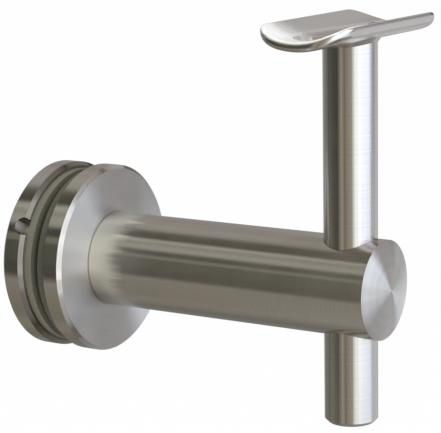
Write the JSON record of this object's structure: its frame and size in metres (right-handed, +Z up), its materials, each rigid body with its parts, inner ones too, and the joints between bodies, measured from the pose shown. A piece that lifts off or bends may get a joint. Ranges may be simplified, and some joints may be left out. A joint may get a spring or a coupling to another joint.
{
  "type": "handrail bracket",
  "caption": "Glass-mounted handrail bracket: two clamping discs, a round arm, and a sliding stem with a curved saddle for a tube.",
  "frame": {"origin": "on the arm's axis, in the plane where the front gasket meets the glass", "axes": "+X out of the glass along the arm, +Y along the handrail, +Z up along the stem"},
  "size_m": [0.1064, 0.058, 0.1056],
  "materials": {
    "disc_steel": "turned satin faces with polished rims",
    "arm_steel": "satin, ground round the bar, with a turned domed end",
    "stem_steel": "fine satin, nearly polished",
    "saddle_steel": "polished plate with softened rims",
    "screw_steel": "plain cold-formed stainless steel",
    "gasket_pvc": "clear soft PVC that looks grey green against the steel",
    "sleeve_nylon": "moulded black nylon"
  },
  "bodies": {
    "front_clamp": {"front_disc": "disc_steel", "front_gasket": "gasket_pvc", "clamp_screw": "screw_steel"},
    "rear_clamp": {"rear_disc": "disc_steel", "rear_gasket": "gasket_pvc", "glass_sleeve": "sleeve_nylon"},
    "bracket_arm": {"arm": "arm_steel", "arm_grub_screw": "screw_steel", "stem_grub_screw": "screw_steel"},
    "rail_support": {"stem": "stem_steel", "saddle": "saddle_steel", "saddle_weld": "stem_steel"}
  },
  "joints": [
    {"name": "clamp_opening", "type": "slide", "parent": "front_clamp", "child": "rear_clamp", "axis": [1, 0, 0], "range_m": [-0.0058, 0.0005]},
    {"name": "arm_turn", "type": "hinge", "parent": "front_clamp", "child": "bracket_arm", "pos_m": [0, 0, 0], "axis": [1, 0, 0], "continuous": true},
    {"name": "stem_height", "type": "slide", "parent": "bracket_arm", "child": "rail_support", "axis": [0, 0, 1], "range_m": [-0.048, 0.025]}
  ]
}
